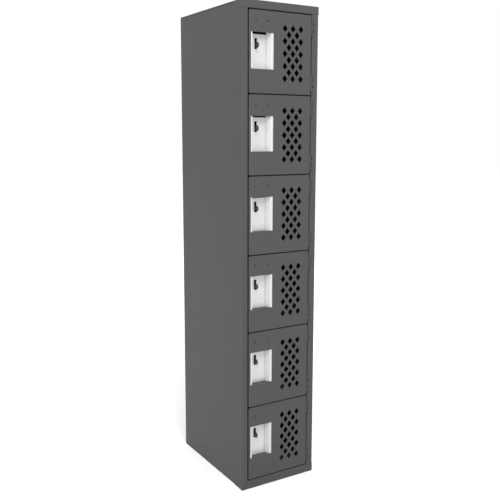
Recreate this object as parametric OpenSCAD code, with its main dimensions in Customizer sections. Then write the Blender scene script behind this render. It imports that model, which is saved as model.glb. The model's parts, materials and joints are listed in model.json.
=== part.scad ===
// Single-wide box locker: one upright cabinet of six compartments, each with its own
// right-hung, diamond-perforated door, a stainless finger recess and a padlock eye.
// Millimetres. +Z is up, the doors face -Y, and the origin is the middle of the base.

/* [Cabinet] */
// Overall width, across the ends of the header and base rails
cabinet_w = 304.8; // [290:0.1:380]
// Overall depth, from the hinge barrels to the rivet heads on the back
cabinet_d = 457.2; // [300:0.1:600]
// Overall height
cabinet_h = 1676.4; // [1600:0.1:1980]

/* [Frame] */
// Face width of the upright beside the free edge of the doors
latch_stile_w = 22.8; // [20:0.1:30]
// Face width of the upright that carries the hinges
hinge_stile_w = 26.8; // [22:0.1:34]
// Face height of the rail over the top door
header_h = 26.6; // [20:0.1:60]
// Face height of the rail under the bottom door
base_h = 30.2; // [20:0.1:60]
// Thickness of the frame members and the doors
frame_t = 1.5; // [1.2:0.1:2]
// Thickness of the side, back and shelf sheets
sheet_t = 1.2; // [0.8:0.1:1.2]
// How far the frame reaches back along the sides
frame_d = 50; // [42:1:56]

/* [Doors] */
// Visible gap above, below and on the hinge side of each door
door_gap = 3.5; // [2.8:0.1:4]
// Visible gap beside each door's free edge
latch_gap = 4.8; // [3:0.1:5]
// Depth of a door's folded edges
door_d = 20; // [16:0.5:20]

/* [Perforation] */
// Width of one diamond hole
diamond_w = 20.2; // [8:0.1:21]
// Height of one diamond hole
diamond_h = 25.4; // [10:0.1:27]
// Distance between diamonds in one row
diamond_pitch_x = 32; // [28:0.1:34]
// Distance between rows
diamond_pitch_z = 20.4; // [18:0.1:22]
// Offset of the pattern's middle from the middle of the door
diamond_shift = 48.2; // [44:0.1:52]

/* [Recess] */
// Width of the recess plate's face
recess_w = 88.5; // [80:0.5:92]
// Height of the recess
recess_h = 117.2; // [100:0.1:120]
// Depth of the recess behind the door's face
recess_d = 21.5; // [18:0.1:21.5]
// Distance from the door's free edge to the recess plate
recess_x = 6.7; // [6:0.1:9]
// Distance from the door's top edge to the recess
recess_drop = 69.8; // [66:0.1:76]

/* [Hinge] */
// Radius of the hinge barrel
barrel_r = 3; // [2.8:0.1:3]
// Radius of the hinge pin
pin_r = 1.5; // [1.2:0.05:1.6]
// Distance from a hinge's middle to the nearer edge of its door
hinge_inset = 41; // [36:0.5:50]

/* [Hidden] */
$fn = 48;
tiers = 6;
tier_list = [1:tiers];
shelf_list = [1:tiers - 1];

function numbered(name, list) = [for (i = list) str(name, "_", i)];

paint = [0.37, 0.37, 0.36];
paint_dark = [0.32, 0.32, 0.31];
stainless = [0.86, 0.86, 0.87];
zinc = [0.5, 0.5, 0.5];
rubber = [0.08, 0.08, 0.08];

eps = 0.01;
fit = 0.1;            // play between fixed pieces that sit in each other
rail_proud = 1.5;     // the rails' ends stand this far outside the uprights
rail_return = 12;     // depth of the rails' folded ends
stop_tab = 10;        // the rails' stops reach this far into the opening
skin_set = 3;         // the side sheets start this far behind the front
cap_flange = 20;      // height of the top's folded edges
bend_r = 1;           // inner radius of a bend
bend_steps = 5;       // flats round one bend
fold_r = 2;           // outer radius of the doors' and rails' folds
corner_relief = 3;    // radius of the notches where a door's folds meet
barrel_proud = 1.2;   // the hinge barrels stand this far in front of the doors

half_w = cabinet_w / 2;
front_y = -cabinet_d / 2 + barrel_proud;
back_y = cabinet_d / 2;
skin_x = half_w - rail_proud;            // outer face of the uprights
side_x = skin_x - frame_t;               // outer face of the side sheets
side_in = side_x - sheet_t;              // inner face of the side sheets

// Rivets: a low dome outside, a short tail inside
rivet_play = 0.05;
head_r = 4.4;
head_h = 1.1;
shank_r = 2.4;
tail_h = 0.8;

back_in = back_y - head_h - sheet_t;     // inner face of the back sheet
rear_flange = 15;
inner_back = back_in - sheet_t - 0.2;    // rear limit of the shelves and the bottom

// Openings between the uprights, and the stop that the doors close towards
open_left = -half_w + latch_stile_w;
open_right = half_w - hinge_stile_w;
stop_w = 13;
stop_y = front_y + 22.5;                 // front face of the stop
stop_left = open_left + stop_w;
stop_right = open_right - stop_w;
rail_inner = side_in - 0.2;

// Doors
door_l = open_left + latch_gap;
door_r = open_right - door_gap;
door_w = door_r - door_l;
pitch = (cabinet_h - header_h - base_h - door_gap) / tiers;
door_h = pitch - door_gap;

// Middle of the k-th gap down, 0 above the top door
function gap_z(k) = cabinet_h - header_h - door_gap / 2 - k * pitch;
function door_top(i) = gap_z(i - 1) - door_gap / 2;
function door_bottom(i) = gap_z(i) + door_gap / 2;

// Shelves and the rails in front of them
shelf_rise = 6;
shelf_flange = 18;
cross_rail_d = 13.5;
cross_rail_h = 24;
shelf_y = stop_y + cross_rail_d + 0.3;
function shelf_z(k) = gap_z(k) + shelf_rise;

// Recess plate: two flat faces behind the door's sheet, two sloping walls and a deep back
plate_t = 1;
plate_face = 7;
plate_slope = 10.4;
plate_lip = 5;
plate_vent = 4;                          // the deep back stops this far below the opening
recess_l = door_l + recess_x;
recess_r = recess_l + recess_w;
slot_w = 9.5;
slot_h = 35.5;
slot_drop = 87;                          // door's top edge to the top of the slot
eye_x = -half_w + 65.3;

// Padlock eye
eye_t = 3;
eye_r = 9.5;
eye_hole_r = 4.4;
eye_drop = 110;                          // door's top edge to the eye's middle
eye_tip_y = front_y + 2.8;
eye_y = eye_tip_y + eye_r;
eye_hole_y = front_y + 15.4;
bracket_t = 2.5;
bracket_h = 22;

// Number-plate holes
plate_hole_r = 2.3;
plate_hole_drop = 33.5;
plate_hole_x = [-half_w + 54, -half_w + 101.5];

// Perforation: odd rows have three diamonds and even rows two
diamond_rows = 9;
diamond_x = (door_l + door_r) / 2 + diamond_shift;

// Hinges
knuckles = 5;
knuckle_h = 11;
knuckle_gap = 0.25;
hinge_h = knuckles * knuckle_h + (knuckles - 1) * knuckle_gap;
hinge_set = 3.6;                         // from a door's edge to its hinge axis
hinge_x = door_r + hinge_set;
hinge_y = front_y + barrel_r - barrel_proud;
leaf_t = 1.3;
leaf_y = hinge_y + barrel_r + 0.5;       // the leaves' front edge, clear of the barrel
leaf_end = front_y + 18;
bore_r = pin_r + 0.06;
frame_knuckles = [0, 2, 4];
door_knuckles = [1, 3];
notch_play = 0.3;
notch_far = 5.4;                         // width of the notch beside a door knuckle
relief_h = 2.2;                          // slot at the lower end of a notch
relief_far = 6.5;
function hinge_zs(i) = [door_top(i) - hinge_inset, door_bottom(i) + hinge_inset];
function knuckle_z(k) = -hinge_h / 2 + k * (knuckle_h + knuckle_gap);

// Small rivets through a door's edge and a door leaf
leaf_head_r = 3.2;
leaf_head_h = 1;
leaf_shank_r = 1.6;
leaf_rivet_y = front_y + 12;
leaf_rivet_dzs = [-16, 16];

// Small hardware on the stop
silencer_r = 4;
silencer_gap = 0.3;                      // between a closed door and its silencers
silencer_drops = [20, door_h - 20];
catch_drop = 150;
catch_w = 14;
catch_t = 0.8;
catch_x = door_l + frame_t + 3.6;
catch_foot_y = stop_y - catch_t;

// Where the rivets are: distance behind the front, and height
shelf_rivet_ys = [96, 400];
cap_rivet_ys = [63, 233, 402];
frame_rivet_y = 36;
frame_rivet_n = 6;
frame_rivet_pitch = 222.4;
cap_rivet_z = 10.5;
function shelf_rivets(k) = [for (y = shelf_rivet_ys) [y, gap_z(k) - 3]];
function cap_rivets(z) = [for (y = cap_rivet_ys) [y, z]];
function frame_rivets() = concat(
    [for (k = [0:frame_rivet_n - 1])
        [frame_rivet_y, cabinet_h / 2 + (k - (frame_rivet_n - 1) / 2) * frame_rivet_pitch]],
    [for (z = [cap_rivet_z, cabinet_h - cap_rivet_z]) [frame_rivet_y + 1, z]]
);
function sheet_rivets() = concat(
    [for (k = shelf_list) each shelf_rivets(k)],
    [for (z = [cap_rivet_z, cabinet_h - cap_rivet_z]) each cap_rivets(z)]
);
back_rivet_n = 8;
back_rivet_inset = 45;
back_rivet_x = side_x - rear_flange / 2;
function back_rivet_zs() = [for (k = [0:back_rivet_n - 1])
    back_rivet_inset + k * (cabinet_h - 2 * back_rivet_inset) / (back_rivet_n - 1)];

// A bent sheet's outline: its outer face as a line of points, with its corners rounded and
// the sheet on the line's left
function unit(v) = v / norm(v);
function left_of(v) = [-v[1], v[0]];
function turned(v, angle) = [v[0] * cos(angle) - v[1] * sin(angle),
                             v[0] * sin(angle) + v[1] * cos(angle)];
// One bend, as pairs of a point on the outer face and the direction into the sheet
function bend(p, i, t) =
    let (
        a = unit(p[i] - p[i - 1]),
        b = unit(p[i + 1] - p[i]),
        turn = atan2(a[0] * b[1] - a[1] * b[0], a * b),
        way = sign(turn),
        r = way > 0 ? bend_r + t : bend_r,
        n = left_of(a),
        middle = p[i] - a * r * tan(abs(turn) / 2) + way * n * r
    )
    [for (k = [0:bend_steps]) let (m = turned(n, turn * k / bend_steps)) [middle - way * m * r, m]];
function bent_sheet(p, t) =
    let (
        last = len(p) - 1,
        pairs = concat(
            [[p[0], left_of(unit(p[1] - p[0]))]],
            [for (i = [1:last - 1]) each bend(p, i, t)],
            [[p[last], left_of(unit(p[last] - p[last - 1]))]]
        )
    )
    concat([for (q = pairs) q[0]], [for (i = [len(pairs) - 1:-1:0]) pairs[i][0] + pairs[i][1] * t]);

// A box from its lowest corner to its highest corner
module box(low, high) {
    translate(low) cube(high - low);
}

// Extrudes an outline drawn in Y and Z along X, between two places
module along_x(from, to) {
    translate([from, 0, 0]) rotate([90, 0, 90]) linear_extrude(to - from) children();
}

// Extrudes an outline drawn in X and Z along Y, between two places
module along_y(from, to) {
    translate([0, to, 0]) rotate([90, 0, 0]) linear_extrude(to - from) children();
}

// Draws its children at x > 0 for side 1 and mirrored for side -1
module on_side(side) {
    mirror([side < 0 ? 1 : 0, 0, 0]) children();
}

// A cylinder along X
module rod_x(r, from, to) {
    translate([from, 0, 0]) rotate([0, 90, 0]) cylinder(r = r, h = to - from);
}

// Takes the square corner off a fold whose corner is on the Z axis, inside towards +X and +Y
module fold_cut(length) {
    difference() {
        box([-1, -1, -1], [fold_r, fold_r, length + 1]);
        translate([fold_r, fold_r, -2]) cylinder(r = fold_r, h = length + 4);
    }
}

// Rounds the four front edges of a tray between two front corners
module fold_cuts(low, high) {
    size = high - low;
    middle = (low + high) / 2;
    translate([middle[0], low[1], middle[2]]) {
        for (side = [-1, 1]) on_side(-side)
            translate([-size[0] / 2, 0, -size[2] / 2]) fold_cut(size[2]);
        for (turn = [0, 180]) rotate([0, turn, 0])
            translate([-size[0] / 2, 0, -size[2] / 2]) rotate([0, 90, 0]) mirror([1, 0, 0])
                fold_cut(size[0]);
    }
}

module side_holes(places, from, to) {
    for (p = places)
        translate([0, front_y + p[0], p[1]]) rod_x(shank_r + rivet_play, from, to);
}

// The head and shank of a rivet along +Z: the head stands on z = 0
module pin_and_dome(grip, head, rise, shank) {
    dome_r = (head * head + rise * rise) / (2 * rise);
    intersection() {
        translate([0, 0, rise - dome_r]) sphere(dome_r, $fn = 96);
        cylinder(r = head, h = rise);
    }
    translate([0, 0, -grip]) cylinder(r = shank, h = grip + eps);
}

// A sheet rivet, with its tail spread inside
module rivet(grip) {
    pin_and_dome(grip, head_r, head_h, shank_r);
    translate([0, 0, -grip - tail_h]) cylinder(r = shank_r + 1, h = tail_h);
}

module side_rivet_row(side, places, face_x, grip) {
    for (p = places)
        translate([side * face_x, front_y + p[0], p[1]]) rotate([0, side * 90, 0]) rivet(grip);
}

module side_panel(side) {
    color(paint)
    on_side(side) difference() {
        linear_extrude(cabinet_h - frame_t)
            polygon(bent_sheet([[side_x, front_y + skin_set], [side_x, back_in],
                                [side_x - rear_flange, back_in]], sheet_t));
        box([side_in - 1, front_y, -1], [side_x + 1, front_y + frame_d + fit, frame_t]);
        side_holes(concat(frame_rivets(), sheet_rivets()), side_in - 1, side_x + 1);
        for (z = back_rivet_zs())
            translate([back_rivet_x, back_in + 1, z]) rotate([90, 0, 0])
                cylinder(r = shank_r + rivet_play, h = sheet_t + 2);
    }
}

module back_panel() {
    color(paint)
    difference() {
        box([-side_x, back_in, 0], [side_x, back_in + sheet_t, cabinet_h - frame_t]);
        for (side = [-1, 1], z = back_rivet_zs())
            translate([side * back_rivet_x, back_in + sheet_t + 1, z]) rotate([90, 0, 0])
                cylinder(r = shank_r + rivet_play, h = sheet_t + 2);
    }
}

module top_panel() {
    flange_z = cabinet_h - cap_flange;
    color(paint)
    difference() {
        union() {
            box([-skin_x, front_y + frame_d, cabinet_h - frame_t],
                [skin_x, back_in + sheet_t, cabinet_h]);
            for (side = [-1, 1]) on_side(side)
                box([side_in - frame_t, front_y + frame_d, flange_z],
                    [side_in, inner_back, cabinet_h - eps]);
            box([-side_in, front_y + frame_d, flange_z],
                [side_in, front_y + frame_d + frame_t, cabinet_h - eps]);
        }
        for (side = [-1, 1]) on_side(side)
            side_holes(cap_rivets(cabinet_h - cap_rivet_z), side_in - frame_t - 1, side_in + 1);
    }
}

module bottom_panel() {
    color(paint)
    difference() {
        union() {
            box([-side_in, stop_y + frame_t, base_h - frame_t], [side_in, inner_back, base_h]);
            for (side = [-1, 1]) on_side(side)
                box([side_in - frame_t, front_y + frame_d + fit, 0],
                    [side_in, inner_back, base_h - eps]);
            box([-side_in, inner_back - frame_t, 0], [side_in, inner_back, base_h - eps]);
        }
        for (side = [-1, 1]) on_side(side)
            side_holes(cap_rivets(cap_rivet_z), side_in - frame_t - 1, side_in + 1);
    }
}

module shelf(k) {
    top = shelf_z(k);
    low = top - shelf_flange;
    color(paint_dark)
    difference() {
        union() {
            box([-side_in, shelf_y, top - sheet_t], [side_in, inner_back, top]);
            for (side = [-1, 1]) on_side(side)
                box([side_in - sheet_t, shelf_y, low], [side_in, inner_back, top - eps]);
            for (y = [shelf_y, inner_back - sheet_t])
                box([-side_in, y, low], [side_in, y + sheet_t, top - eps]);
        }
        for (side = [-1, 1]) on_side(side)
            side_holes(shelf_rivets(k), side_in - sheet_t - 1, side_in + 1);
    }
}

// An upright's section for x > 0: stop, return, face and side
function upright_line(inner_x) = [
    [inner_x - stop_w, stop_y],
    [inner_x, stop_y],
    [inner_x, front_y],
    [skin_x, front_y],
    [skin_x, front_y + frame_d]
];

module upright(inner_x) {
    difference() {
        union() {
            translate([0, 0, base_h]) linear_extrude(cabinet_h - header_h - base_h)
                polygon(bent_sheet(upright_line(inner_x), frame_t));
            box([side_x, front_y + frame_t + bend_r, frame_t],
                [skin_x, front_y + frame_d, cabinet_h - frame_t]);
        }
        side_holes(frame_rivets(), side_x - 1, skin_x + 1);
    }
}

module upright_left() {
    color(paint) on_side(-1) upright(-open_left);
}

// The cut-out in the hinge upright that takes one hinge barrel
module hinge_notch() {
    deep = leaf_y - front_y - 0.1;
    low = -hinge_h / 2 - notch_play;
    near = hinge_x - open_right + barrel_r + notch_play;
    box([-1, -1, low], [near, deep, -low]);
    box([-1, -1, low - relief_h], [relief_far, frame_t + 1, low + eps]);
    for (k = door_knuckles)
        box([0, -1, knuckle_z(k) - notch_play],
            [notch_far, frame_t + 0.5, knuckle_z(k) + knuckle_h + notch_play]);
}

module upright_right() {
    color(paint)
    difference() {
        upright(open_right);
        for (i = tier_list, z = hinge_zs(i)) translate([open_right, front_y, z]) hinge_notch();
    }
}

// A rail with its outer edge on z = 0 and its door edge at z = rail_h
module rail(rail_h) {
    difference() {
        union() {
            box([-half_w, front_y, 0], [half_w, front_y + frame_t, rail_h]);
            for (side = [-1, 1]) on_side(side)
                box([skin_x, front_y, 0], [half_w, front_y + rail_return, rail_h]);
            box([-skin_x, front_y, 0], [skin_x, front_y + frame_d - fit, frame_t]);
            box([-rail_inner, front_y, rail_h - frame_t], [rail_inner, stop_y + frame_t, rail_h]);
        }
        fold_cuts([-half_w, front_y, 0], [half_w, front_y, rail_h]);
    }
    box([stop_left, stop_y, rail_h - eps], [stop_right, stop_y + frame_t, rail_h + stop_tab]);
}

module header_rail() {
    color(paint) translate([0, 0, cabinet_h]) mirror([0, 0, 1]) rail(header_h);
}

module base_rail() {
    color(paint) rail(base_h);
}

module cross_rail(k) {
    top = shelf_z(k);
    low = top - cross_rail_h;
    back = stop_y + cross_rail_d;
    color(paint_dark) along_x(stop_left, stop_right)
        polygon(bent_sheet([[back, top], [stop_y, top], [stop_y, low], [back, low]], sheet_t));
}

// A flat bracket behind the stop and a drilled eye that stands out through the recess
module padlock_eye(i) {
    z = door_top(i) - eye_drop;
    bracket_y = stop_y + frame_t;
    bracket_back = bracket_y + bracket_t;
    color(zinc)
    translate([0, 0, z]) difference() {
        union() {
            box([open_left + fit, bracket_y, -bracket_h / 2],
                [eye_x + eye_t / 2, bracket_back, bracket_h / 2]);
            box([eye_x - eye_t / 2, eye_y, -eye_r], [eye_x + eye_t / 2, bracket_back, eye_r]);
            translate([0, eye_y, 0]) rod_x(eye_r, eye_x - eye_t / 2, eye_x + eye_t / 2);
        }
        translate([0, eye_hole_y, 0]) rod_x(eye_hole_r, eye_x - eye_t, eye_x + eye_t);
    }
}

module diamond() {
    polygon([[diamond_w / 2, 0], [0, diamond_h / 2], [-diamond_w / 2, 0], [0, -diamond_h / 2]]);
}

// The door's face, drawn in X and Z from the door's bottom edge
module door_face() {
    difference() {
        translate([door_l, 0]) square([door_w, door_h]);
        translate([recess_l, door_h - recess_drop - recess_h]) square([recess_w, recess_h]);
        for (row = [0:diamond_rows - 1]) {
            count = row % 2 == 0 ? 3 : 2;
            for (n = [0:count - 1])
                translate([diamond_x + (n - (count - 1) / 2) * diamond_pitch_x,
                           door_h / 2 + (row - (diamond_rows - 1) / 2) * diamond_pitch_z])
                    diamond();
        }
        for (x = plate_hole_x) translate([x, door_h - plate_hole_drop]) circle(plate_hole_r);
    }
}

module door(i) {
    floor_z = door_h - recess_drop - recess_h;
    tongue_start = 4;
    tongue_back = recess_d + plate_t + 1;
    tongue_taper = 14;
    color(paint)
    translate([0, 0, door_bottom(i)]) difference() {
        union() {
            along_y(front_y, front_y + frame_t) door_face();
            for (x = [door_l, door_r - frame_t])
                box([x, front_y, 0], [x + frame_t, front_y + door_d, door_h]);
            for (z = [0, door_h - frame_t])
                box([door_l, front_y, z], [door_r, front_y + door_d, z + frame_t]);
            translate([0, front_y, floor_z - frame_t]) linear_extrude(frame_t)
                polygon([[recess_l, frame_t - eps], [recess_r, frame_t - eps],
                         [recess_r, tongue_start], [recess_r - tongue_taper, tongue_back],
                         [recess_l + tongue_taper, tongue_back], [recess_l, tongue_start]]);
        }
        fold_cuts([door_l, front_y, 0], [door_r, front_y, door_h]);
        for (x = [door_l, door_r], z = [0, door_h])
            translate([x, front_y - 1, z]) rotate([-90, 0, 0])
                cylinder(r = corner_relief, h = door_d + 2);
        for (z = [hinge_inset, door_h - hinge_inset], dz = leaf_rivet_dzs)
            translate([0, leaf_rivet_y, z + dz])
                rod_x(leaf_shank_r + rivet_play, door_r - frame_t - 1, door_r + 1);
    }
}

module recess_plate(i) {
    top = door_top(i) - recess_drop;
    face_y = front_y + frame_t;
    deep_y = front_y + recess_d;
    wall_l = recess_l + plate_face;
    wall_r = recess_r - plate_face;
    deep_l = wall_l + plate_slope;
    deep_r = wall_r - plate_slope;
    color(stainless)
    difference() {
        translate([0, 0, top - recess_h + fit]) linear_extrude(recess_h + plate_lip - fit)
            polygon(bent_sheet([
                [recess_l - plate_lip, face_y], [wall_l, face_y], [deep_l, deep_y],
                [deep_r, deep_y], [wall_r, face_y], [recess_r + plate_lip, face_y]
            ], plate_t));
        box([deep_l, deep_y - 1, top - plate_vent], [deep_r, deep_y + plate_t + 1, top + 2 * plate_lip]);
        box([eye_x - slot_w / 2, deep_y - 1, door_top(i) - slot_drop - slot_h],
            [eye_x + slot_w / 2, deep_y + plate_t + 1, door_top(i) - slot_drop]);
    }
}

// One knuckle of a hinge barrel, standing on z = 0
module knuckle() {
    difference() {
        cylinder(r = barrel_r, h = knuckle_h);
        translate([0, 0, -1]) cylinder(r = bore_r, h = knuckle_h + 2);
    }
}

module frame_leaves(i) {
    leaf_l = frame_t - (hinge_x - open_right);
    color(paint_dark)
    for (z = hinge_zs(i)) translate([hinge_x, 0, z]) {
        box([leaf_l, leaf_y, -hinge_h / 2], [leaf_l + leaf_t, leaf_end, hinge_h / 2]);
        for (k = frame_knuckles) {
            translate([0, hinge_y, knuckle_z(k)]) knuckle();
            box([leaf_l, hinge_y + bore_r, knuckle_z(k)],
                [leaf_l + leaf_t, leaf_y + eps, knuckle_z(k) + knuckle_h]);
        }
    }
}

module door_leaves(i) {
    leaf_l = door_r - hinge_x;
    color(paint_dark)
    for (z = hinge_zs(i)) translate([hinge_x, 0, z]) difference() {
        union() {
            box([leaf_l, leaf_y, -hinge_h / 2], [leaf_l + leaf_t, leaf_end, hinge_h / 2]);
            for (k = door_knuckles) {
                translate([0, hinge_y, knuckle_z(k)]) knuckle();
                box([leaf_l, hinge_y, knuckle_z(k)],
                    [leaf_l + leaf_t, leaf_y + eps, knuckle_z(k) + knuckle_h]);
            }
        }
        for (dz = leaf_rivet_dzs)
            translate([0, leaf_rivet_y, dz]) rod_x(leaf_shank_r + rivet_play, leaf_l - 1, 0);
    }
}

// The small rivets that hold the door leaves, headed inside the door's edge
module leaf_rivets(i) {
    color(zinc)
    for (z = hinge_zs(i), dz = leaf_rivet_dzs)
        translate([door_r - frame_t, leaf_rivet_y, z + dz]) rotate([0, -90, 0])
            pin_and_dome(frame_t + leaf_t, leaf_head_r, leaf_head_h, leaf_shank_r);
}

module hinge_pins() {
    color(zinc)
    for (i = tier_list, z = hinge_zs(i))
        translate([hinge_x, hinge_y, z - hinge_h / 2 - 0.2]) cylinder(r = pin_r, h = hinge_h + 0.4);
}

// Rubber buttons on the stop, behind the doors' free edges
module silencers() {
    color(rubber)
    for (i = tier_list, drop = silencer_drops)
        translate([door_l + 2, front_y + door_d + silencer_gap, door_top(i) - drop])
            rotate([-90, 0, 0])
                cylinder(r = silencer_r, h = stop_y - front_y - door_d - silencer_gap);
}

// Spring clips on the stop, just inside the doors' free edges
module friction_catches() {
    color(zinc)
    for (i = tier_list) translate([0, 0, door_top(i) - catch_drop])
        linear_extrude(catch_w, center = true)
            polygon(bent_sheet([
                [catch_x + 0.5, stop_y - 14], [catch_x - 1.8, stop_y - 9],
                [catch_x, stop_y - 5], [catch_x, catch_foot_y], [stop_left - 0.5, catch_foot_y]
            ], catch_t));
}

module side_rivets() {
    color(paint)
    for (side = [-1, 1]) {
        side_rivet_row(side, frame_rivets(), skin_x, frame_t + sheet_t);
        for (k = shelf_list) side_rivet_row(side, shelf_rivets(k), side_x, 2 * sheet_t);
        for (z = [cap_rivet_z, cabinet_h - cap_rivet_z])
            side_rivet_row(side, cap_rivets(z), side_x, sheet_t + frame_t);
    }
}

module back_rivets() {
    color(paint)
    for (side = [-1, 1], z = back_rivet_zs())
        translate([side * back_rivet_x, back_in + sheet_t, z]) rotate([-90, 0, 0])
            rivet(2 * sheet_t);
}

side_panel(-1);  // side_left
side_panel(1);  // side_right
back_panel();
top_panel();
bottom_panel();
for (i = shelf_list) {
    shelf(i);
    cross_rail(i);
}
upright_left();
upright_right();
header_rail();
base_rail();
for (i = tier_list) {
    padlock_eye(i);
    door(i);
    recess_plate(i);
    frame_leaves(i);
    door_leaves(i);
    leaf_rivets(i);
}
hinge_pins();
silencers();
friction_catches();
side_rivets();
back_rivets();
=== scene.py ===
import json
import math

import bpy
from mathutils import Euler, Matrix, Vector

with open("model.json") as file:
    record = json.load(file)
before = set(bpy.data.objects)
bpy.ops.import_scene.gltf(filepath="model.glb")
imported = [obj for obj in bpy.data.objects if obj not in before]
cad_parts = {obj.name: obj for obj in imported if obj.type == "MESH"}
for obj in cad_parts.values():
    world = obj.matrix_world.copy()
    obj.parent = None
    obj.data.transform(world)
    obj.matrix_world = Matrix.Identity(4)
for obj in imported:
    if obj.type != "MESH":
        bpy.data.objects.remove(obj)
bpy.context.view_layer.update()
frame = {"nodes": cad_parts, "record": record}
scene = bpy.context.scene
nodes = frame["nodes"]

# ---------------------------------------------------------------- camera
PICTURE_PX = 500                             # side of the square picture
LENS_PX = 703.19                             # focal length in the same pixels
SENSOR_MM = 36.0
CAMERA_AT = (-1.3339, -2.2321, 1.2455)
CAMERA_TURN = (-8.5086, -0.0724, -31.1669)   # pitch, roll, heading in degrees
LEVEL = 90.0                                 # turn about X that looks at the horizon
SHIFT_Y = -0.02
CLIP_NEAR, CLIP_FAR = 0.05, 100.0

camera_data = bpy.data.cameras.new("camera")
camera = bpy.data.objects.new("camera", camera_data)
scene.collection.objects.link(camera)
scene.camera = camera
camera_data.sensor_width = SENSOR_MM
camera_data.lens = LENS_PX / PICTURE_PX * camera_data.sensor_width
camera_data.shift_y = SHIFT_Y
camera_data.clip_start = CLIP_NEAR
camera_data.clip_end = CLIP_FAR
pitch, roll, heading = CAMERA_TURN
camera.location = CAMERA_AT
camera.rotation_euler = Euler(
    (math.radians(LEVEL + pitch), math.radians(roll), math.radians(heading)), "XYZ"
)

scene.view_settings.view_transform = "Standard"
scene.view_settings.look = "None"


# ---------------------------------------------------------------- node helpers
# The mix node has several sockets of each name; these are the colour ones.
MIX_A, MIX_B, MIX_RESULT = 6, 7, 2
WHITE = (1.0, 1.0, 1.0)
UNIT = (0.0, 1.0)
NOISE_BODY = (0.3, 0.7)       # where nearly all of a noise's values lie
CREASE_AO = (0.72, 0.97)      # occlusion deep in a corner and on an open face
EDGE_DOT = (0.86, 0.995)      # bevelled against true normal, on an edge and off it
CREASE_SAMPLES = 8
EDGE_SAMPLES = 4


def rgba(colour):
    return (*colour, 1.0)


def shade(colour, factor):
    return tuple(c * factor for c in colour)


class Graph:
    """A material's node tree, with short ways to add and join nodes."""

    def __init__(self, name):
        self.material = bpy.data.materials.new(name)
        self.material.use_nodes = True
        self.tree = self.material.node_tree
        self.shader = self.tree.nodes["Principled BSDF"]
        self.coords = self.tree.nodes.new("ShaderNodeTexCoord").outputs["Object"]

    def link(self, source, target):
        self.tree.links.new(source, target)

    def feed(self, key, source):
        """Joins a node's output to the shader's socket of that name."""
        self.link(source, self.shader.inputs[key])

    def fix(self, key, value):
        """Sets the shader's own socket, for what is the same all over the surface."""
        self.shader.inputs[key].default_value = value

    def node(self, kind, **settings):
        made = self.tree.nodes.new(kind)
        for key, value in settings.items():
            setattr(made, key, value)
        return made

    def stretched(self, scale):
        """Object coordinates, scaled differently along each axis."""
        mapping = self.node("ShaderNodeMapping")
        mapping.inputs["Scale"].default_value = scale
        self.link(self.coords, mapping.inputs["Vector"])
        return mapping.outputs["Vector"]

    def noise(self, scale, detail, roughness=0.5, vector=None):
        noise = self.node("ShaderNodeTexNoise")
        noise.inputs["Scale"].default_value = scale
        noise.inputs["Detail"].default_value = detail
        noise.inputs["Roughness"].default_value = roughness
        self.link(vector or self.coords, noise.inputs["Vector"])
        return noise.outputs["Fac"]

    def spread(self, value, to, over=UNIT):
        """Maps the range `over` onto the range `to`, held at both ends."""
        spread = self.node("ShaderNodeMapRange")
        keys = ("From Min", "From Max", "To Min", "To Max")
        for key, number in zip(keys, (*over, *to)):
            spread.inputs[key].default_value = number
        self.link(value, spread.inputs["Value"])
        return spread.outputs["Result"]

    def math(self, operation, a, b):
        """Combines two values, each a node's output or a number."""
        made = self.node("ShaderNodeMath", operation=operation)
        for socket, value in zip(made.inputs, (a, b)):
            if isinstance(value, (int, float)):
                socket.default_value = value
            else:
                self.link(value, socket)
        return made.outputs[0]

    def blend(self, amount, a, b):
        """Colour a where amount is 0 and colour b where it is 1."""
        mix = self.node("ShaderNodeMix", data_type="RGBA")
        self.link(amount, mix.inputs["Factor"])
        for socket, colour in ((mix.inputs[MIX_A], a), (mix.inputs[MIX_B], b)):
            if isinstance(colour, tuple):
                socket.default_value = rgba(colour)
            else:
                self.link(colour, socket)
        return mix.outputs[MIX_RESULT]

    def bump(self, height, strength, distance, normal=None):
        bump = self.node("ShaderNodeBump")
        bump.inputs["Strength"].default_value = strength
        bump.inputs["Distance"].default_value = distance
        self.link(height, bump.inputs["Height"])
        if normal is not None:
            self.link(normal, bump.inputs["Normal"])
        return bump.outputs["Normal"]

    def painted_crease_shade_mask(self, reach):
        """1 deep in a piece's own inside corners, 0 on its open faces: the mask of a
        painted shade.
        """
        occlusion = self.node(
            "ShaderNodeAmbientOcclusion", samples=CREASE_SAMPLES, only_local=True
        )
        occlusion.inputs["Distance"].default_value = reach
        return self.spread(occlusion.outputs["AO"], to=(1.0, 0.0), over=CREASE_AO)

    def edges(self, radius):
        """1 on sharp outer edges and inner corners, falling to 0 away from them."""
        bevel = self.node("ShaderNodeBevel", samples=EDGE_SAMPLES)
        bevel.inputs["Radius"].default_value = radius
        geometry = self.node("ShaderNodeNewGeometry")
        dot = self.node("ShaderNodeVectorMath", operation="DOT_PRODUCT")
        self.link(bevel.outputs["Normal"], dot.inputs[0])
        self.link(geometry.outputs["Normal"], dot.inputs[1])
        return self.spread(dot.outputs["Value"], to=(1.0, 0.0), over=EDGE_DOT)


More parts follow.
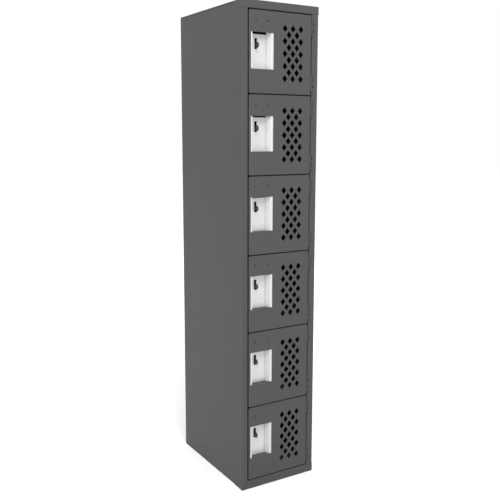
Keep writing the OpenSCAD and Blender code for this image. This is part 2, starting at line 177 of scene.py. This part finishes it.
# ---------------------------------------------------------------- finishes
# Lengths are in metres, and a noise's scale is in waves a metre. A shade is a factor
# on the base colour. A swing is how far the roughness goes to either side of `rough`.
def paint(name, colour, rough):
    """Satin powder coat: orange peel, faint mottle and grain, edges rubbed a little and
    painted lighter as a highlight.
    """
    mottle_shades = (0.975, 1.025)
    grain_shade, grain_amount, grain_body = 1.13, (0.0, 0.5), (0.35, 0.75)
    rub_and_highlight_shade, rub_and_highlight_amount, rub_and_highlight_body = 1.55, (0.1, 0.55), (0.35, 0.7)
    rub_and_highlight_radius = 0.0006
    swing = 0.04

    g = Graph(name)
    mottle = g.noise(scale=7.0, detail=3.0, roughness=0.55)
    grain = g.noise(scale=1400.0, detail=2.0, roughness=0.6)
    peel = g.noise(scale=520.0, detail=2.0)
    dark, light = (shade(colour, factor) for factor in mottle_shades)
    tone = g.blend(g.spread(mottle, to=UNIT, over=NOISE_BODY), dark, light)
    specks = g.spread(grain, to=grain_amount, over=grain_body)
    tone = g.blend(specks, tone, shade(colour, grain_shade))
    # the edges are lighter: partly a coat rubbed thin, partly a painted highlight
    edges = g.edges(rub_and_highlight_radius)
    patches = g.spread(g.noise(scale=90.0, detail=3.0), to=rub_and_highlight_amount, over=rub_and_highlight_body)
    rub_and_highlight = g.math("MULTIPLY", edges, patches)
    g.feed("Base Color", g.blend(rub_and_highlight, tone, shade(colour, rub_and_highlight_shade)))
    rough_range = (rough - swing, rough + swing)
    g.feed("Roughness", g.spread(mottle, to=rough_range, over=NOISE_BODY))
    normal = g.bump(peel, strength=0.16, distance=0.0004)
    g.feed("Normal", g.bump(grain, strength=0.05, distance=0.0001, normal=normal))
    g.fix("Specular IOR Level", 0.1)
    return g.material


def brushed(name, colour, rough):
    """Stainless sheet with fine vertical brushing, and a painted shade that darkens its
    inside corners.
    """
    line_scale, wide_scale = (2600.0, 2600.0, 14.0), (170.0, 170.0, 3.0)
    line_share, wide_share = 0.7, 0.3
    line_shades = (0.92, 1.06)
    painted_crease_shade, painted_crease_shade_reach = 0.6, 0.004
    swing_down, swing_up = 0.07, 0.08

    g = Graph(name)
    lines = g.noise(scale=1.0, detail=4.0, roughness=0.65, vector=g.stretched(line_scale))
    wide = g.noise(scale=1.0, detail=2.0, vector=g.stretched(wide_scale))
    dark, light = (shade(colour, factor) for factor in line_shades)
    tone = g.blend(g.spread(lines, to=UNIT, over=NOISE_BODY), dark, light)
    # painted shade: the inside corners and folds are darkened where shade falls
    tone = g.blend(g.painted_crease_shade_mask(painted_crease_shade_reach), tone, shade(colour, painted_crease_shade))
    g.feed("Base Color", tone)
    both = g.math("ADD", g.math("MULTIPLY", lines, line_share),
                  g.math("MULTIPLY", wide, wide_share))
    rough_range = (rough - swing_down, rough + swing_up)
    g.feed("Roughness", g.spread(both, to=rough_range, over=NOISE_BODY))
    g.fix("Metallic", 0.3)
    g.feed("Normal", g.bump(lines, strength=0.12, distance=0.00006))
    return g.material


def plated(name, colour, rough):
    """Zinc-plated steel hardware, slightly blotched, rubbed bright on its edges."""
    blotch_shades = (0.82, 1.12)
    rub_and_highlight_shade, rub_and_highlight_amount, rub_and_highlight_radius = 1.8, 0.6, 0.0005
    swing = 0.08

    g = Graph(name)
    blotch = g.noise(scale=160.0, detail=3.0, roughness=0.6)
    fine = g.noise(scale=1500.0, detail=2.0)
    dark, light = (shade(colour, factor) for factor in blotch_shades)
    tone = g.blend(g.spread(blotch, to=UNIT, over=NOISE_BODY), dark, light)
    rub_and_highlight = g.math("MULTIPLY", g.edges(rub_and_highlight_radius), rub_and_highlight_amount)
    g.feed("Base Color", g.blend(rub_and_highlight, tone, shade(colour, rub_and_highlight_shade)))
    rough_range = (rough - swing, rough + swing)
    g.feed("Roughness", g.spread(blotch, to=rough_range, over=NOISE_BODY))
    g.fix("Metallic", 0.85)
    g.feed("Normal", g.bump(fine, strength=0.1, distance=0.0001))
    return g.material


def rubber(name, colour):
    """Dull moulded rubber with a fine grain."""
    grain_shades = (0.8, 1.3)
    rough_range = (0.62, 0.8)

    g = Graph(name)
    fine = g.noise(scale=900.0, detail=3.0, roughness=0.6)
    dark, light = (shade(colour, factor) for factor in grain_shades)
    g.feed("Base Color", g.blend(fine, dark, light))
    g.feed("Roughness", g.spread(fine, to=rough_range))
    g.feed("Normal", g.bump(fine, strength=0.2, distance=0.0001))
    return g.material


GREY = (0.0535, 0.0535, 0.0511)
STAINLESS = (0.505, 0.505, 0.505)
ZINC = (0.07, 0.07, 0.073)
BLACK = (0.02, 0.02, 0.02)
SATIN = 0.42
INSIDE_PAINTED_SHADE = 0.9     # the shelves and cross rails are a little darker, a painted shade inside the cabinet
RIVET_PAINTED_SHADE = 0.78     # painted shade: the rivet heads are darker than their sheets

# One for each material slot in the record, and one for the rivets, darkened by a painted
# shade.
finishes = {
    "frame_paint": paint("powder_coat_frame", GREY, rough=SATIN),
    "door_paint": paint("powder_coat_door", GREY, rough=SATIN),
    # the inside parts get a darker copy of the paint, a painted shade
    "interior_paint": paint("powder_coat_inside_painted_shade", shade(GREY, INSIDE_PAINTED_SHADE), rough=0.5),
    "stainless": brushed("brushed_stainless", STAINLESS, rough=0.40),
    "hardware_steel": plated("zinc_plate", ZINC, rough=0.45),
    "silencer_rubber": rubber("rubber", BLACK),
    "rivet_painted_shade": paint("powder_coat_rivets_painted_shade", shade(GREY, RIVET_PAINTED_SHADE), rough=SATIN),
}
RIVETS_WITH_PAINTED_SHADE = ("side_rivets", "back_rivets")
slot_of = {part["node"]: part["material_slot"] for part in frame["record"]["subparts"]}


# ---------------------------------------------------------------- the sheet-metal pieces
SHARP = math.radians(32.0)     # a sharper edge is rounded and parts the shading
FLAT = math.radians(0.4)       # triangles closer to one plane than this are merged
SAME_POINT = 1e-6
BEVEL_SEGMENTS = 3
FACE_WEIGHT = 80               # 50 is neutral, more favours the large faces
EDGE_WIDTHS = {"door": 0.0004, "padlock": 0.0005}   # by the first word of the name
OTHER_EDGE_WIDTH = 0.0003
SMALL = ("rivets", "pins", "leaves")                # their edges stay as they are


def normals_group(name, by_angle):
    """Geometry nodes that drop the imported normals and shade smooth, across sharp
    edges too unless by_angle is true."""
    tree = bpy.data.node_groups.new(name, "GeometryNodeTree")
    for in_out in ("INPUT", "OUTPUT"):
        tree.interface.new_socket(
            "Geometry", in_out=in_out, socket_type="NodeSocketGeometry"
        )
    start = tree.nodes.new("NodeGroupInput")
    end = tree.nodes.new("NodeGroupOutput")
    normals = tree.nodes.new("GeometryNodeSetMeshNormal")
    normals.mode = "SHARPNESS"
    normals.inputs["Remove Custom"].default_value = True
    tree.links.new(start.outputs[0], normals.inputs["Mesh"])
    tree.links.new(normals.outputs[0], end.inputs[0])
    if by_angle:
        angle = tree.nodes.new("GeometryNodeInputMeshEdgeAngle")
        over = tree.nodes.new("ShaderNodeMath")
        over.operation = "GREATER_THAN"
        over.inputs[1].default_value = SHARP
        tree.links.new(angle.outputs["Unsigned Angle"], over.inputs[0])
        tree.links.new(over.outputs[0], normals.inputs["Edge Sharpness"])
    return tree


CLEAR = normals_group("clear_normals", by_angle=False)
BY_ANGLE = normals_group("smooth_by_angle", by_angle=True)


def modifier(piece, name, kind, **settings):
    made = piece.modifiers.new(name, kind)
    for key, value in settings.items():
        setattr(made, key, value)


def edge_width(name):
    """How wide a node's sharp edges are rounded, 0 where they aren't."""
    if any(word in name for word in SMALL):
        return 0.0
    return EDGE_WIDTHS.get(name.split("_")[0], OTHER_EDGE_WIDTH)


def finish_edges(piece, width):
    """Welds the imported triangles and evens the normals. Where width isn't 0, it
    also merges the flat triangles and rounds the sharp edges."""
    modifier(piece, "clear", "NODES", node_group=CLEAR)
    modifier(piece, "weld", "WELD", merge_threshold=SAME_POINT)
    if width:
        modifier(piece, "flat", "DECIMATE", decimate_type="DISSOLVE", angle_limit=FLAT)
        modifier(piece, "bevel", "BEVEL", width=width, segments=BEVEL_SEGMENTS,
                 limit_method="ANGLE", angle_limit=SHARP, use_clamp_overlap=True)
    modifier(piece, "smooth", "NODES", node_group=BY_ANGLE)
    modifier(piece, "even", "WEIGHTED_NORMAL", keep_sharp=True, weight=FACE_WEIGHT)


for name, piece in nodes.items():
    # the rivets get the darker finish, a painted shade
    finish = "rivet_painted_shade" if name in RIVETS_WITH_PAINTED_SHADE else slot_of[name]
    for slot in piece.material_slots:
        slot.material = finishes[finish]
    finish_edges(piece, edge_width(name))


# ---------------------------------------------------------------- studio
LAMPS_AIM = (0.0, 0.0, 0.85)
LAMPS = (   # name, place, side of the square lamp, power in watts
    ("key", (-1.1, -3.2, 5.2), 2.0, 280.0),
    ("side", (-4.6, -2.0, 1.6), 1.6, 79.0),
    ("fill", (3.4, -2.6, 2.2), 2.4, 6.0),
    ("rear", (3.4, 2.8, 2.6), 2.0, 45.0),
)
FLOOR_RADIUS = 20.0
FLOOR_CORNERS = 96
FLOOR_TONES = ((0.68, 0.68, 0.68), (0.72, 0.72, 0.72))
GLOW = (0.08, 0.4)         # emission strength by the cabinet and far from it
GLOW_REACH = (0.6, 4.0)    # distances from the origin between which it rises


def light_world():
    """An even white sky."""
    world = bpy.data.worlds.new("studio")
    world.use_nodes = True
    scene.world = world
    sky = world.node_tree.nodes["Background"]
    sky.inputs["Color"].default_value = rgba(WHITE)
    sky.inputs["Strength"].default_value = 1.0


def area_light(name, at, side, power):
    data = bpy.data.lights.new(name, "AREA")
    data.shape = "RECTANGLE"
    data.size = data.size_y = side
    data.energy = power
    lamp = bpy.data.objects.new(name, data)
    scene.collection.objects.link(lamp)
    lamp.location = at
    aim = Vector(LAMPS_AIM) - Vector(at)
    lamp.rotation_euler = aim.to_track_quat("-Z", "Y").to_euler()


def pale_floor():
    """A pale floor that glows faintly by the cabinet, where the contact shadow
    falls, and more strongly away from it."""
    g = Graph("pale_floor")
    g.feed("Base Color", g.blend(g.noise(scale=3.0, detail=3.0), *FLOOR_TONES))
    distance = g.node("ShaderNodeVectorMath", operation="LENGTH")
    g.link(g.coords, distance.inputs[0])
    g.fix("Emission Color", rgba(WHITE))
    glow = g.spread(distance.outputs["Value"], to=GLOW, over=GLOW_REACH)
    g.feed("Emission Strength", glow)
    g.fix("Roughness", 0.85)
    g.fix("Specular IOR Level", 0.2)
    return g.material


def lay_floor():
    """A round floor, so wide that its rim is lost against the white sky."""
    mesh = bpy.data.meshes.new("floor")
    turns = [2 * math.pi * k / FLOOR_CORNERS for k in range(FLOOR_CORNERS)]
    rim = [(FLOOR_RADIUS * math.cos(turn), FLOOR_RADIUS * math.sin(turn), 0.0)
           for turn in turns]
    mesh.from_pydata(rim, [], [tuple(range(FLOOR_CORNERS))])
    floor = bpy.data.objects.new("floor", mesh)
    scene.collection.objects.link(floor)
    mesh.materials.append(pale_floor())


light_world()
for lamp_row in LAMPS:
    area_light(*lamp_row)
lay_floor()
